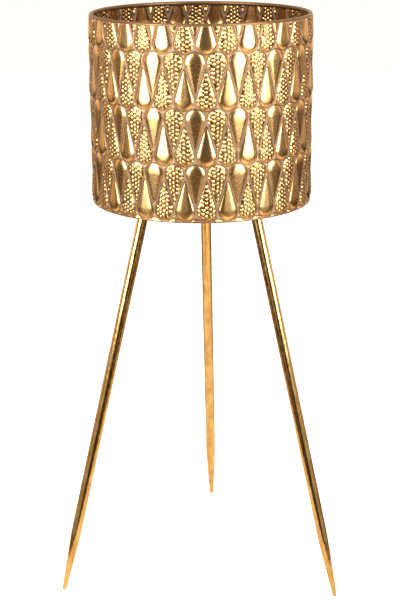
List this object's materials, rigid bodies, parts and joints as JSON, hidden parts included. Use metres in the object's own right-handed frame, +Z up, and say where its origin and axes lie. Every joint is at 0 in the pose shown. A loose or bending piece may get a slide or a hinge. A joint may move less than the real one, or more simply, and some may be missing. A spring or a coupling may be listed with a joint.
{
  "type": "planter pot",
  "caption": "Embossed brass cylinder planter pot with a rolled rim, raised on slim splayed legs that taper to rounded points.",
  "frame": {"origin": "on the floor, under the axis of the pot", "axes": "+Z up along the axis of the pot; +Y from the axis towards the back leg; +X to the right of someone who faces the side opposite the back leg"},
  "size_m": [0.3234, 0.3114, 0.665],
  "materials": {
    "embossed_brass": "polished crests with brown patina in the ground",
    "iron_wire": "plain drawn wire",
    "base_brass": "patinated sheet and fittings",
    "gilt_brass": "bright gold leaf finish, slightly uneven",
    "zinc_steel": "zinc plated thread"
  },
  "bodies": {
    "root": {"pot_wall": "embossed_brass", "rim_wire": "iron_wire", "base_plate": "base_brass", "socket_plate_back": "base_brass", "socket_plate_left": "base_brass", "socket_plate_right": "base_brass", "leg_socket_back": "base_brass", "leg_socket_left": "base_brass", "leg_socket_right": "base_brass", "leg_stud_back": "zinc_steel", "leg_stud_left": "zinc_steel", "leg_stud_right": "zinc_steel", "leg_bush_back": "gilt_brass", "leg_bush_left": "gilt_brass", "leg_bush_right": "gilt_brass", "leg_tube_back": "gilt_brass", "leg_tube_left": "gilt_brass", "leg_tube_right": "gilt_brass", "leg_point_back": "gilt_brass", "leg_point_left": "gilt_brass", "leg_point_right": "gilt_brass"}
  },
  "joints": []
}
